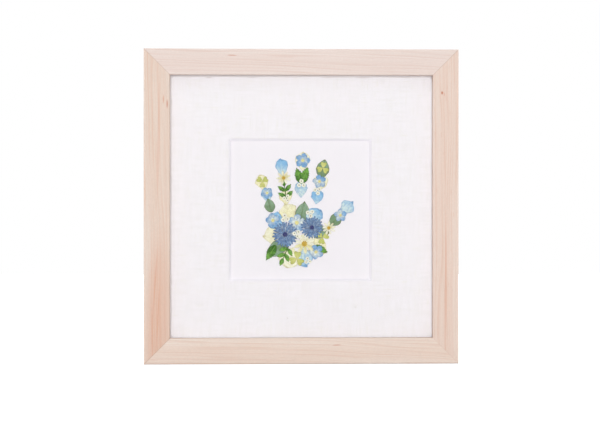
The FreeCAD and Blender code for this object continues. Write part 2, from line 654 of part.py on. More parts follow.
# The layout: kind, place of the piece's origin right of and above the window's middle,
# direction, length and width. All but the direction, in degrees, are shares of the
# hand's height. They are given in the order in which they are laid down.
layout_shares = [
    # Ground petals and leaves that lie straight on the paper.
    ("cream_petal", 0.06, -0.25, 322, 0.19, 0.165),
    ("cream_petal", -0.12, -0.2, 186, 0.19, 0.165),
    ("sage", 0, -0.12, 80, 0.19, 0.12),
    ("blue_petal", 0.345, -0.045, 48, 0.155, 0.115),
    ("cream_petal", 0.16, 0.165, 78, 0.145, 0.12),
    ("cream_petal", 0.018, 0.335, 88, 0.16, 0.12),
    ("blue_petal", 0.006, 0.105, 90, 0.14, 0.115),
    ("blue_petal", -0.15, 0.295, 98, 0.145, 0.115),
    ("cream_petal", -0.118, 0.045, 98, 0.12, 0.11),
    ("blue_petal", -0.27, 0.065, 108, 0.125, 0.1),
    # Petals, leaves and a sprig that fill the gaps between those.
    ("sage", 0.06, -0.17, 352, 0.19, 0.12),
    ("blue_petal", 0.01, -0.31, 285, 0.175, 0.15),
    ("sage", -0.1, -0.26, 215, 0.23, 0.125),
    ("blue_petal", -0.12, -0.14, 150, 0.17, 0.14),
    ("blue_petal", 0.05, -0.12, 45, 0.17, 0.14),
    ("leaf", 0.115, -0.31, 335, 0.13, 0.065),
    ("sage", 0.255, -0.13, 44, 0.155, 0.1),
    ("sage", 0.178, 0.275, 78, 0.16, 0.11),
    ("blue_petal", 0.135, 0.05, 80, 0.125, 0.11),
    ("leaf", 0.012, 0.225, 108, 0.14, 0.07),
    ("sprig", -0.118, 0.09, 99, 0.18, 0.1),
    ("cream_petal", -0.305, 0.17, 108, 0.135, 0.105),
    ("sage", -0.245, -0.02, 106, 0.12, 0.09),
    # The last of the ground.
    ("cream_petal", -0.06, -0.32, 252, 0.185, 0.17),
    ("cream_petal", -0.07, -0.1, 112, 0.16, 0.15),
    ("blue_petal", -0.04, -0.22, 205, 0.13, 0.12),
    ("cream_petal", 0, -0.22, 330, 0.13, 0.14),
    ("leaf", -0.21, -0.3, 238, 0.15, 0.075),
    ("leaf", 0.012, 0.225, 70, 0.15, 0.075),
    ("sprig", -0.1, -0.31, 246, 0.18, 0.1),
    # Flowers, clovers and buds of the fingers and the palm's edge.
    ("bloom", 0.022, 0.425, 0, 0.125, 0.125),
    ("bloom", 0.135, -0.36, 40, 0.125, 0.125),
    ("bloom", -0.235, -0.09, 30, 0.125, 0.125),
    ("clover", 0.19, -0.235, 20, 0.12, 0.12),
    ("bloom", 0.345, -0.045, 20, 0.11, 0.11),
    ("clover", 0.195, 0.36, 80, 0.11, 0.11),
    ("bloom", 0.165, 0.245, 30, 0.115, 0.115),
    ("daisy", -0.143, 0.275, 20, 0.125, 0.125),
    ("buds", -0.118, 0.1, 30, 0.075, 0.075),
    ("clover", -0.325, 0.245, 30, 0.105, 0.105),
    ("bloom", -0.285, 0.145, 50, 0.1, 0.1),
    # Flowers of the palm, and the last buds.
    ("daisy", 0.035, -0.29, 0, 0.19, 0.19),
    ("bloom", -0.03, -0.11, 12, 0.15, 0.15),
    ("daisy", 0.245, -0.155, 10, 0.12, 0.12),
    ("buds", 0.148, 0.165, 10, 0.08, 0.08),
    ("buds", 0.01, 0.225, 60, 0.085, 0.085),
    ("cornflower", -0.13, -0.21, 10, 0.225, 0.225),
    ("cornflower", 0.1, -0.15, 30, 0.2, 0.2),
    ("clover", -0.03, -0.42, 80, 0.135, 0.135),
    ("buds", -0.03, -0.205, 20, 0.08, 0.08),
    ("buds", -0.13, -0.07, 70, 0.085, 0.085),
    ("buds", 0.065, -0.435, 70, 0.07, 0.07),
    ("buds", 0.085, -0.03, 10, 0.08, 0.08),
]

# Lay the pieces down. Each rests on the highest piece that it crosses, or on the paper,
# and an eye is laid on its flower.
hand_height = value("sizes.hand_height")
petal_thickness = value("sizes.petal_thickness")
laid = []
groups = {}


def lay_down(faces, x, z, heading, sub_part):
    """Put the faces of one piece on top of what lies there already."""
    place = Vector(value(window_x) + x * hand_height, 0, value(window_z) + z * hand_height)
    turn = Rotation(Vector(0, 1, 0), -heading)
    placed = [face.copy() for face in faces]
    for face in placed:
        face.Placement = Placement(place, turn) * face.Placement
    level = 0
    for other, other_level in laid:
        for face in placed:
            if face.BoundBox.intersect(other.BoundBox) and face.distToShape(other)[0] < petal_thickness:
                level = max(level, other_level)
    level += 1
    laid.extend((face, level) for face in placed)
    depth = Vector(0, petal_thickness, 0)
    base = Vector(0, value(paper_y) - level * petal_thickness, 0)
    solids = [face.translated(base).extrude(depth) for face in placed]
    groups.setdefault(sub_part, []).extend(solids)
    return level


highest = 0
for kind, x, z, heading, length, width in layout_shares:
    outline, sub_part, eye_share = kinds[kind]
    faces = outline(length * hand_height, width * hand_height)
    highest = max(highest, lay_down(faces, x, z, heading, sub_part))
    if eye_share:
        eye = [disc(eye_share * length * hand_height)]
        highest = max(highest, lay_down(eye, x, z, heading, "flower_eyes"))
print("pressed pieces:", len(laid), "in", highest, "layers")
for sub_part, solids in groups.items():
    parts.append(grouped(sub_part, solids))

# Check every object and every sub-part, then write the sub-parts.
doc.recompute()
for thing in doc.Objects:
    if "Invalid" in thing.State or "Error" in thing.State:
        raise RuntimeError(f"{thing.Label} is {thing.State}")
os.makedirs("parts", exist_ok=True)
for part in parts:
    if part.Shape.isNull() or not part.Shape.isValid():
        raise RuntimeError(f"{part.Label} has no valid shape")
for part in parts:
    part.Shape.exportStep(f"parts/{part.Label}.step")
print("sub-parts:", len(parts))
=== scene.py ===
import json
import math

import bmesh
import bpy
from mathutils import Matrix, Vector, noise

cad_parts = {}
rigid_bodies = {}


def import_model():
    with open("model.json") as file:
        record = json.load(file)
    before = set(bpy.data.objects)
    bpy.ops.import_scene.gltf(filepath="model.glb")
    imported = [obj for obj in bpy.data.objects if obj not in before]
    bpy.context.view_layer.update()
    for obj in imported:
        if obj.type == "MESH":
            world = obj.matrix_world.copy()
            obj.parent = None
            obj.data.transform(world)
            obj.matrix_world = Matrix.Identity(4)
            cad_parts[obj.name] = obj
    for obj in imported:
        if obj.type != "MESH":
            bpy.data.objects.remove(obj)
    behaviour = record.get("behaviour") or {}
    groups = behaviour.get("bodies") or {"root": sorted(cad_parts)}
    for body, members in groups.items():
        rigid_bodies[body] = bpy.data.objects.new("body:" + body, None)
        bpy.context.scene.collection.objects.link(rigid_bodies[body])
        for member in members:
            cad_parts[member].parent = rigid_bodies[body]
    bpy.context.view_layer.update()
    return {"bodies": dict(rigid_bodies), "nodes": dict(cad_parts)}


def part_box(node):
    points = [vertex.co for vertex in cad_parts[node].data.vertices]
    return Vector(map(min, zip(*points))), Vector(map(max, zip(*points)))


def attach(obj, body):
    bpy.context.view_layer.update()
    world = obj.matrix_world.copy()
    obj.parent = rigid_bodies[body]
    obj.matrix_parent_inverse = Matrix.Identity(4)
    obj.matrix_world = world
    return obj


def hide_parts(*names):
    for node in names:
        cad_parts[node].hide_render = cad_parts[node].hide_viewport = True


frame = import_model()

# Moulding: four lengths of pale maple with a rabbet behind the lip, cut at 45 degrees and
# glued. The arrises are sanded round and the wood is left matt. Each length comes from
# another board, so each has its own grain.
MM = 0.001


class Value:
    """A number that changes over a surface. Sums written with it add the Math nodes."""

    def __init__(self, finish, socket):
        self.finish, self.socket = finish, socket

    def maths(self, operation, *terms):
        return self.finish.node("Math", {"operation": operation}, terms)

    def __add__(self, other):
        return self.maths("ADD", self, other)

    def __sub__(self, other):
        return self.maths("SUBTRACT", self, other)

    def __rsub__(self, other):
        return self.maths("SUBTRACT", other, self)

    def __mul__(self, other):
        return self.maths("MULTIPLY", self, other)

    def __truediv__(self, other):
        return self.maths("DIVIDE", self, other)

    def __abs__(self):
        return self.maths("ABSOLUTE", self)

    __radd__, __rmul__ = __add__, __mul__

    def larger(self, other):
        return self.maths("MAXIMUM", self, other)

    def smaller(self, other):
        return self.maths("MINIMUM", self, other)

    def fraction(self):
        return self.maths("FRACT", self)

    def wave(self):
        return self.maths("SINE", self)

    def rise(self, low, high):
        """0 at low and beyond, 1 at high and beyond, and smooth between them."""
        return self.finish.node("MapRange", {"interpolation_type": "SMOOTHSTEP"}, {
            "Value": self, "From Min": low, "From Max": high, "To Min": 0, "To Max": 1})


class Finish:
    """A material, made of a Principled shader and the nodes that are added to it."""

    def __init__(self, name, **constants):
        self.material = bpy.data.materials.new(name)
        self.material.use_nodes = True
        self.tree = self.material.node_tree
        self.shader = self.tree.nodes["Principled BSDF"]
        for socket, value in constants.items():
            self.shader.inputs[socket.replace("_", " ")].default_value = value

    def plug(self, socket, value):
        if isinstance(value, Value):
            self.tree.links.new(value.socket, socket)
        else:
            socket.default_value = value

    def node(self, kind, settings, sockets=(), output=0):
        """Add a node and give back one of its outputs. The settings are set first."""
        made = self.tree.nodes.new("ShaderNode" + kind)
        for key, value in settings.items():
            setattr(made, key, value)
        for key, value in sockets.items() if isinstance(sockets, dict) else enumerate(sockets):
            self.plug(made.inputs[key], value)
        return Value(self, made.outputs[output])

    def place(self):
        """The place in the object in millimetres, as a vector."""
        spot = self.node("TexCoord", {}, output="Object")
        return self.node("VectorMath", {"operation": "SCALE"}, {0: spot, "Scale": 1 / MM})

    def apart(self, vector):
        """The three numbers of a vector."""
        first = self.node("SeparateXYZ", {}, [vector])
        return [Value(self, output) for output in first.socket.node.outputs]

    def point(self, x, y, z):
        return self.node("CombineXYZ", {}, [x, y, z])

    def noise(self, point, scale=1.0, detail=2.0, roughness=0.5, seed=0.0):
        return self.node("TexNoise", {"noise_dimensions": "4D"}, {
            "Vector": point, "W": seed, "Scale": scale, "Detail": detail, "Roughness": roughness})

    def blend(self, share, first, second, way="MIX"):
        """A colour that goes from the first to the second as share goes from 0 to 1."""
        return self.node("Mix", {"data_type": "RGBA", "blend_type": way},
                         {0: share, 6: first, 7: second}, 2)

    def dress(self, colour, height=None, depth=0, **others):
        """Give the shader its colour, its relief and what else changes over the surface."""
        self.plug(self.shader.inputs["Base Color"], colour)
        if height is not None:
            normal = self.node("Bump", {}, {"Distance": depth * MM, "Height": height})
            self.plug(self.shader.inputs["Normal"], normal)
        for socket, value in others.items():
            self.plug(self.shader.inputs[socket], value)
        return self.material


def paint(red, green, blue):
    """A colour written as screens give it, from 0 to 255."""
    parts = [part / 255 for part in (red, green, blue)]
    return (*[part / 12.92 if part <= 0.04045 else ((part + 0.055) / 1.055) ** 2.4 for part in parts], 1)


def finished(name, shape, material, body, nodes, smooth=35, edge=0):
    """Edges that turn by more than smooth degrees look sharp."""
    mesh = bpy.data.meshes.new(name)
    shape.to_mesh(mesh)
    shape.free()
    mesh.materials.append(material)
    mesh.shade_smooth()
    mesh.set_sharp_from_angle(angle=math.radians(smooth))
    made = bpy.data.objects.new(name, mesh)
    bpy.context.scene.collection.objects.link(made)
    if edge:
        bevel = made.modifiers.new("eased", "BEVEL")
        bevel.width, bevel.segments, bevel.limit_method = edge * MM, 2, "ANGLE"
        bevel.angle_limit, bevel.harden_normals = math.radians(50), True
    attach(made, body)
    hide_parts(*nodes)
    return made


def eased(node, name, material, body, edge, smooth=35):
    """A CAD part again, with its triangles joined, its edges eased and its curves smooth."""
    shape = bmesh.new()
    shape.from_mesh(frame["nodes"][node].data)
    bmesh.ops.remove_doubles(shape, verts=shape.verts, dist=0.001 * MM)
    bmesh.ops.dissolve_limit(shape, angle_limit=math.radians(0.5), verts=shape.verts, edges=shape.edges)
    return finished(name, shape, material, body, [node], smooth, edge)


def maple(name, seed, along, across, ends, glue, pale, deep, line, heart, slope, flecks, marks):
    """Maple whose grain runs along one rail. along and across give a place in millimetres.
    glue says how dark the mitre's glue line is at each end. heart is a deeper band: where
    it runs, how wide and how strong it is. slope is the grain's run across the rail, and
    flecks how strong the rays show. A mark is a streak or a knot: its place, half its
    length and width, slant, strength and colour."""
    wood = Finish(name, Roughness=0.62, Specular_IOR_Level=0.28)
    x, y, z = wood.apart(wood.place())
    along, across = along(x, z), across(x, z)
    drift = wood.noise(wood.point(along * 0.011, across * 0.03, y * 0.03), 1, 1, seed=seed)
    ripple = wood.noise(wood.point(along * 0.16, across * 0.3, y * 0.3), 1, 3, 0.6, seed + 9)
    ring = across + along * slope + (drift - 0.5) * 7 + (ripple - 0.5) * 0.8
    broad = wood.noise(wood.point(ring * 0.16, along * 0.006, y * 0.08), 1, 2, seed=seed + 1)
    fine = wood.noise(wood.point(ring * 2.1, along * 0.03, y * 0.9), 1, 3, 0.6, seed + 3)
    fibre = wood.noise(wood.point(across * 5, along * 0.25, y * 5), 1, 2, 0.6, seed + 4)
    ray = wood.noise(wood.point(across * 1.5, along * 0.14, y * 1.2), 1, 2, 0.55, seed + 5)
    pore = wood.noise(wood.point(across * 1.2, along * 0.7, y * 1.2), 1, 3, 0.7, seed + 6)
    middle, spread, share = heart
    core = abs(across - middle).rise(spread, 0) * share
    colour = wood.blend(core + broad.rise(0.36, 0.66) * 0.3, pale, deep)
    # Wide rings and narrow ones. Each darkens over the last share of its growth, which is
    # in millimetres, and ends in a thin line, stronger in some years.
    for growth, darkened, strength, year_seed in ((2.7, 0.6, 0.5, 7), (1.25, 0.5, 0.34, 8)):
        crowding = wood.noise(
            wood.point(ring * 0.14, along * 0.004, y * 0.06), 1, 1, seed=seed + year_seed)
        year = (ring / growth + crowding * 5).fraction()
        good = wood.noise(
            wood.point(ring * 0.4, along * 0.018, y * 0.2), 1, 2, 0.6, seed + year_seed + 2)
        late = year.rise(1 - darkened, 0.94) * year.rise(1.0, 0.95) * good.rise(0.3, 0.62)
        colour = wood.blend(late * (0.3 + pore * 1.4) * strength, colour, line)
    colour = wood.blend(fine.rise(0.5, 0.75) * 0.25, colour, deep)
    colour = wood.blend(ray.rise(0.58, 0.74) * flecks, colour, line)
    for mark_along, mark_across, half_length, half_width, slant, strength, hue in marks:
        off = (along - mark_along) / half_length
        aside = (across - mark_across - (along - mark_along) * slant + (fine - 0.5) * 0.6) / half_width
        colour = wood.blend((off * off + aside * aside).rise(1, 0) * strength, colour, hue)
    shade = 1 + (fibre - 0.5) * 0.05 + (pore - 0.5) * 0.2
    colour = wood.blend(1.0, colour, wood.point(shade, shade, shade), "MULTIPLY")
    near_end, far_end = along - ends[0] - across, ends[1] - along - across
    for from_joint, darkness in ((near_end, glue[0]), (far_end, glue[1])):
        colour = wood.blend(abs(from_joint).rise(0.42, 0.1) * darkness, colour, paint(172, 134, 110))
    return wood.dress(colour, fibre * 0.5 + fine * 0.5, 0.05)


def box_mm(node):
    """The lowest and highest corners of a CAD part, in millimetres."""
    return [[place / MM for place in corner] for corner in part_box(node)]


west, _, foot = box_mm("left_rail")[0]
east, _, head = box_mm("right_rail")[1]
streak, knot, stain = paint(214, 156, 126), paint(188, 108, 74), paint(204, 150, 130)
rails = {
    "top_rail": maple(
        "maple_top", 3.1, lambda x, z: x, lambda x, z: head - z, (west, east), glue=(0.32, 0.35),
        pale=paint(231, 217, 210), deep=paint(224, 204, 195), line=paint(217, 190, 178),
        heart=(9, 8, 0.15), slope=-0.045, flecks=0.25,
        marks=[(-50.8, 4.9, 4.4, 0.5, 0.02, 0.8, stain)]),
    # The foot rail's colours are raised to make up for less lamp light reaching the foot: painted light
    # over the board's own tone.
    "bottom_rail": maple(
        "maple_bottom", 17.4, lambda x, z: x, lambda x, z: z - foot, (west, east), glue=(0.45, 0.15),
        pale=paint(233, 218, 207), deep=paint(226, 201, 185), line=paint(219, 187, 169),
        heart=(7, 8, 0.2), slope=0.03, flecks=0.3,
        marks=[(25.7, 13.9, 4, 0.6, 0.05, 0.65, stain)]),
    "left_rail": maple(
        "maple_left", 31.7, lambda x, z: z, lambda x, z: x - west, (foot, head), glue=(0.45, 0.34),
        pale=paint(227, 212, 201), deep=paint(221, 192, 173), line=paint(218, 180, 157),
        heart=(10, 8, 0.15), slope=0.02, flecks=0.3,
        marks=[(193.1, 14.4, 4, 0.7, 0, 0.6, streak), (189.7, 17.1, 4, 0.7, 0, 0.9, stain),
               (59, 8.4, 30, 0.7, 0.065, 0.45, streak), (33, 10.3, 28, 0.7, 0.05, 0.45, streak),
               (23, 6.3, 26, 0.7, 0, 0.45, streak), (165, 10.8, 60, 1.2, 0.02, 0.25, streak),
               (25, 10, 85, 12, 0.02, 0.42, streak)]),
    "right_rail": maple(
        "maple_right", 52.9, lambda x, z: z, lambda x, z: east - x, (foot, head), glue=(0.15, 0.4),
        pale=paint(230, 213, 202), deep=paint(224, 196, 181), line=paint(218, 181, 160),
        heart=(10.5, 7, 0.2), slope=0.0, flecks=0.5,
        marks=[(198.3, 12.3, 1.6, 0.8, 0, 1, knot), (197.3, 10.6, 2.2, 0.6, 0.3, 0.5, streak),
               (60, 9.5, 60, 0.9, 0, 0.45, streak)]),
}
for rail, wood in rails.items():
    eased(rail, rail + "_maple", wood, "frame", 0.14)


# V-nails: wings of spring steel pressed across each mitre from behind, two to a corner.
# They sit flush with the back, bright where the tool has burnished them.
def steel(name, light, dark, roughness, grain=(0.4, 6, 6)):
    """Plated steel with dull patches and a fine brushed grain, which is closest along the
    largest of the three numbers of grain."""
    metal = Finish(name, Metallic=1.0, Roughness=roughness)
    spot = metal.node("VectorMath", {"operation": "MULTIPLY"}, [metal.place(), grain])
    brushed = metal.noise(spot, 1, 3, 0.6)
    dull = metal.noise(metal.place(), 0.35, 3, 0.6)
    colour = metal.blend(dull.rise(0.35, 0.7), light, dark)
    return metal.dress(colour, brushed, 0.012, Roughness=roughness - 0.08 + dull * 0.2)


def assign(material, *nodes):
    """Give a CAD part that stays as it is its material."""
    for node in nodes:
        for material_slot in frame["nodes"][node].material_slots:
            material_slot.material = material


assign(steel("spring_steel", paint(190, 192, 196), paint(150, 150, 152), 0.34), "corner_v_nails")


# Glazing: a pane of clear picture glass, coated so that it hardly mirrors the room. It
# lies in the rabbet against the lip.
def picture_glass():
    """Clear glass that mirrors from its front alone, and as little as a coated pane does."""
    pane = Finish("picture_glass")
    clear = pane.node("BsdfTransparent", {}, [(0.985, 0.99, 0.987, 1)])
    shine = pane.node("BsdfGlossy", {}, {"Color": (1, 1, 1, 1), "Roughness": 0.0})
    inside = pane.node("NewGeometry", {}, output="Backfacing")
    coated = pane.node("Fresnel", {}, {"IOR": 1.17})
    mirrored = coated * (1 - inside)
    both = pane.node("MixShader", {}, [mirrored, clear, shine])
    pane.tree.nodes.remove(pane.shader)
    pane.plug(pane.tree.nodes["Material Output"].inputs["Surface"], both)
    return pane.material


assign(picture_glass(), "glazing")


# Mat: a thick white board with a bevelled window, faced with bleached linen. The linen is
# cut a little short of the rabbet, so its soft torn edge shows inside the lip.
def board_finish(name, colour, speckle, painted_shade_from=None):
    """Cotton board: almost plain, with fine fibres. The last number is how far in millimetres
    from its middle, to the left and up, the board outside the linen is darkened: painted shade where the
    lip's shadow falls."""
    board = Finish(name, Roughness=0.85, Specular_IOR_Level=0.15)
    spot = board.place()
    fibre = board.noise(spot, 3.5, 3, 0.65)
    ground = board.blend(fibre.rise(0.45, 0.8), colour, speckle)
    if painted_shade_from:
        x, y, z = board.apart(spot)
        # Painted shade: outside the linen, at the head and on the left, the board is darkened where the lip
        # casts its shadow.
        painted_shade_margin = (0 - x).larger(z - (head + foot) / 2).rise(painted_shade_from, painted_shade_from + 0.3)
        ground = board.blend(painted_shade_margin, ground, paint(228, 219, 221))
    return board.dress(ground, fibre, 0.02)


def linen_finish():
    """Plain weave of 22 threads to the centimetre, with thicker yellowish slubs."""
    cloth = Finish("bleached_linen", Roughness=0.88, Specular_IOR_Level=0.12)
    spot = cloth.place()
    x, y, z = cloth.apart(spot)
    sway = cloth.noise(spot, 0.05, 2) - 0.5
    warp, weft = x + sway * 1.6, z + sway * 1.6
    pitch = 0.45
    warp_turn, weft_turn = warp * (math.pi / pitch), weft * (math.pi / pitch)
    over = (warp_turn.wave() * weft_turn.wave()).rise(-0.12, 0.12)
    ridges = over * abs(warp_turn.wave()) + (1 - over) * abs(weft_turn.wave())
    warp_yarn = cloth.noise(cloth.point(warp * 0.95, weft * 0.06, 3), 1, 2, 0.6)
    weft_yarn = cloth.noise(cloth.point(warp * 0.06, weft * 0.95, 7), 1, 2, 0.6)
    warp_slub = cloth.noise(cloth.point(warp * 1.1, weft * 0.1, 11), 1, 1)
    weft_slub = cloth.noise(cloth.point(warp * 0.1, weft * 1.1, 19), 1, 1)
    mottle = cloth.noise(spot, 0.045, 3, 0.6)
    ground = cloth.blend(mottle.rise(0.35, 0.65), paint(249, 244, 249), paint(249, 243, 248))
    yarns = warp_yarn.rise(0.38, 0.66) + weft_yarn.rise(0.38, 0.66)
    ground = cloth.blend(yarns * 0.32, ground, paint(239, 234, 235))
    slubs = warp_slub.rise(0.62, 0.7).larger(weft_slub.rise(0.62, 0.7))
    ground = cloth.blend(slubs * 0.3, ground, paint(238, 234, 220))
    # Two flecks of husk are left in the cloth below the window.
    for speck_x, speck_z in ((-10, 33), (40, 41)):
        off, aside = (x - speck_x) / 0.45, (z - speck_z) / 0.4
        ground = cloth.blend((off * off + aside * aside).rise(1, 0.2), ground, paint(190, 184, 176))
    return cloth.dress(ground, ridges * 0.5 + yarns * 0.3 + slubs * 0.5, 0.05)


white_board = board_finish("white_board", paint(248, 246, 250), paint(240, 237, 238))
# The mat's margin outside the linen carries painted shade at the head and on the left.
mat_white = board_finish("mat_white", paint(245, 240, 247), paint(239, 234, 240), painted_shade_from=93.5)
assign(mat_white, "mat_board")
assign(board_finish("tape_white", paint(238, 234, 224), paint(226, 220, 208)), "mat_tape")

# The linen sheet, in millimetres. First come the middle of its window and half its side.
window_x, window_z, window_half = -0.7, 112.54, 52.6
linen_low, linen_high = box_mm("mat_linen")
linen_half = (linen_high[0] - linen_low[0]) / 2
linen_middle = (linen_high[2] + linen_low[2]) / 2
AIR = 0.03  # between the glass and the linen
linen_thickness = linen_high[1] - linen_low[1] - AIR
LINEN_CUTS, LINEN_RINGS = 260, 5  # along each side, and from the window to the edge
shape = bmesh.new()
bmesh.ops.create_grid(shape, x_segments=1, y_segments=1, size=linen_half)
sheet_face = list(shape.faces)
ring = bmesh.ops.inset_individual(shape, faces=sheet_face, thickness=linen_half - window_half,
                                  use_even_offset=True)["faces"]
bmesh.ops.translate(shape, verts=sheet_face[0].verts, vec=(window_x, window_z - linen_middle, 0))
rims = [edge for face in ring for edge in face.edges if len(edge.link_faces) == 1]
rims += list(sheet_face[0].edges)
bmesh.ops.delete(shape, geom=sheet_face, context="FACES_ONLY")
bmesh.ops.subdivide_edges(shape, edges=rims, cuts=LINEN_CUTS, use_grid_fill=True)
spokes = [edge for edge in shape.edges if len(edge.link_faces) == 2]
bmesh.ops.subdivide_edges(shape, edges=spokes, cuts=LINEN_RINGS, use_grid_fill=True)
# The torn edge. Each side has the way it faces, a seed for how it wanders, how far it
# reaches past the straight cut, and its dents: place along it, depth and half the width.
torn_sides = (
    ((0, 1), 0, -0.25, ((-68, 0.9, 3), (-83, 0.3, 4), (-36, 0.45, 4), (19, 0.35, 5), (46, 0.4, 7),
                        (78, 0.3, 5))),
    ((0, -1), 40, 1.0, ((35, 0.3, 6),)),
    ((1, 0), 80, 0.95, ((50, 0.3, 6), (-72, 0.5, 3))),
    ((-1, 0), 120, 0, ((76, 0.5, 4), (20, 0.3, 8), (-55, 0.35, 4))),
)
for vert in shape.verts:
    x, z = vert.co.x, vert.co.y
    for (right, up), seed, spare, dents in torn_sides:
        if x * right + z * up < linen_half - 0.001:
            continue
        along = z if right else x
        pull = 0.3 * noise.noise(Vector((along * 0.06, seed, 0))) + spare
        pull += 0.16 * noise.noise(Vector((along * 0.35, seed, 5)))
        pull += 0.05 * noise.noise(Vector((along * 1.6, seed, 9)))
        for dent_along, depth, half_width in dents:
            pull -= depth * math.exp(-((along - dent_along) / half_width * 1.6) ** 2)
        pull -= 0.9 * max(0, abs(along) / linen_half - 0.99) * 100  # the corners are rounded off
        vert.co.x += pull * right
        vert.co.y += pull * up
bmesh.ops.rotate(shape, verts=shape.verts, matrix=Matrix.Rotation(math.radians(90), 3, "X"))
grown = bmesh.ops.extrude_face_region(shape, geom=list(shape.faces))["geom"]
back_verts = [item for item in grown if isinstance(item, bmesh.types.BMVert)]
window_up = window_z - linen_middle
narrowing = 1 - linen_thickness / window_half  # the window's cut slants with the bevel
for vert in back_verts:
    vert.co.y += linen_thickness
    aside, above = vert.co.x - window_x, vert.co.z - window_up
    if max(abs(aside), abs(above)) <= window_half + 0.01:
        vert.co.x = window_x + aside * narrowing
        vert.co.z = window_up + above * narrowing
bmesh.ops.translate(shape, verts=shape.verts, vec=(0, linen_low[1] + AIR, linen_middle))
bmesh.ops.scale(shape, verts=shape.verts, vec=(MM, MM, MM))
bmesh.ops.recalc_face_normals(shape, faces=shape.faces)
linen = finished("linen_facing", shape, linen_finish(), "frame", ["mat_linen"])
flat_side = 2 * linen_half * MM
flat_side ** 2 - (2 * window_half * MM) ** 2


# Art paper: a sheet of heavy cotton paper with a slight tooth, taped behind the mat's
# window and backed by a thin white mounting board.
def art_paper_finish():
    paper = Finish("art_paper_cotton", Roughness=0.9, Specular_IOR_Level=0.12)
    spot = paper.place()
    tooth = paper.noise(spot, 0.9, 3, 0.65)
    shadow = paper.noise(spot, 0.3, 2)
    colour = paper.blend(tooth.rise(0.35, 0.75), paint(247, 241, 246), paint(243, 238, 243))
    colour = paper.blend(shadow.rise(0.4, 0.7) * 0.4, colour, paint(243, 237, 242))
    return paper.dress(colour, tooth, 0.09)


assign(art_paper_finish(), "art_paper")
assign(white_board, "mount_board")

# Pressed flowers: petals, leaves, sprigs and small flowers, dried flat and glued down one
# over another in the outline of a hand. Each layer is a fifth of a millimetre thick.
LAYER, HAND = 0.2, 85.7
PETAL = 0.06  # how thick a dried petal is
SEAT = 0.075  # from the front of a piece's layer to the piece's middle
paper_front = box_mm("art_paper")[0][1]


def blade(broadest, roundness, ragged=0.05, teeth=0.0):
    """The shape of a petal or leaf: how far along it is broadest, and how round its ends
    are. It gives a place across the width of 2 and the length of 1."""
    skew = math.log(0.5) / math.log(broadest)

    def shape_of(along, across, tone):
        half = math.sin(math.pi * along ** skew) ** roundness if 0 < along < 1 else 0
        wobble = noise.noise(Vector((along * 3.5, math.copysign(1.7, across), tone * 37)))
        wobble += 0.6 * noise.noise(Vector((along * 11, math.copysign(4.1, across), tone * 37)))
        saw = teeth * (0.5 - (along * 8 + tone) % 1) * abs(across)
        tip = noise.noise(Vector((across * 2.2, tone * 23, 4))) * along ** 4
        lean = 0.12 * math.sin(tone * 53) * along * (1 - along)
        return along + ragged * tip + saw * 0.3, half * across * (1 + 1.6 * ragged * wobble + saw) + lean
    return shape_of


def fan(half_angle, edge):
    """A leaflet or floret that opens from its foot. edge holds shares of its reach, from
    its middle line to its side."""
    def shape_of(along, across, tone):
        step = abs(across) * (len(edge) - 1)
        first = min(int(step), len(edge) - 2)
        reach = edge[first] + (edge[first + 1] - edge[first]) * (step - first)
        turn = math.radians(half_angle) * across
        return along * reach * math.cos(turn), along * reach * math.sin(turn) * 2
    return shape_of


def cupped(along, across, tone):
    """A petal that has dried with its sides and some folds raised."""
    fold = math.sin(across * 6 + along * 5 + tone * 40) * along
    crumple = noise.noise(Vector((along * 4, across * 3, tone * 61)))
    return 0.05 * across * across + 0.04 * fold + 0.07 * crumple - 0.01


def ribbed(along, across, tone):
    """A leaf with a raised rib along its middle and a slight quilting."""
    rib = math.exp(-(across / 0.13) ** 2)
    curl = noise.noise(Vector((along * 2.5, across * 1.5, tone * 47)))
    return 0.045 * rib + 0.025 * math.sin(along * 26 - abs(across) * 5) + 0.08 * curl * abs(across) - 0.01


def imbricate(number):
    """One side of each petal of a flower lies over the next petal."""
    def relief(along, across, tone):
        return 0.03 * across + 0.006 * number + 0.04 * math.sin(across * 5 + tone * 30) * along - 0.02
    return relief


def ray_ribbed(along, across, tone):
    """A daisy's ray with two furrows."""
    return 0.05 * math.cos(across * math.pi * 2.2) + 0.05 * math.sin(along * 4 + tone * 30) - 0.01


class Pressing:
    """The pieces of one kind, in one mesh. Each vertex knows its place along and across
    its petal, and the petal's own tone, for the material."""

    def __init__(self):
        self.shape = bmesh.new()
        self.spot = self.shape.verts.layers.float_vector.new("petal_spot")

    def sheet(self, where, length, width, outline, relief, tone, steps=(14, 8), lift=0.0):
        """Add one petal, from a grid that is drawn into its outline."""
        verts = bmesh.ops.create_grid(
            self.shape, x_segments=steps[0], y_segments=steps[1], size=0.5)["verts"]
        for vert in verts:
            along, across = (1 - math.cos(math.pi * (vert.co.x + 0.5))) / 2, vert.co.y * 2
            x, side = outline(along, across, tone)
            vert[self.spot] = (along, across, tone)
            height = relief(along, across, tone) + lift
            vert.co = where @ Vector((x * length, -height, side * width / 2))
        bmesh.ops.remove_doubles(self.shape, verts=verts, dist=0.0001 * MM)

    def dome(self, where, radius, height, lobes, tone, grain=2):
        """Add one bud or the eye of a flower, closed all round."""
        verts = bmesh.ops.create_icosphere(self.shape, subdivisions=grain, radius=1)["verts"]
        for vert in verts:
            x, depth, z = vert.co
            out, turn = math.hypot(x, z), math.atan2(z, x)
            swell = 1 + 0.1 * math.cos(lobes * turn + tone * 9) * out
            vert[self.spot] = (out, turn / math.pi, tone)
            vert.co = where @ Vector((x * radius * swell, depth * height / 2, z * radius * swell))


def turned(where, degrees, x=0.0, z=0.0):
    """A place in or beside another: moved by x and z, then turned to a new direction."""
    return where @ Matrix.Translation((x, 0, z)) @ Matrix.Rotation(math.radians(-degrees), 4, "Y")


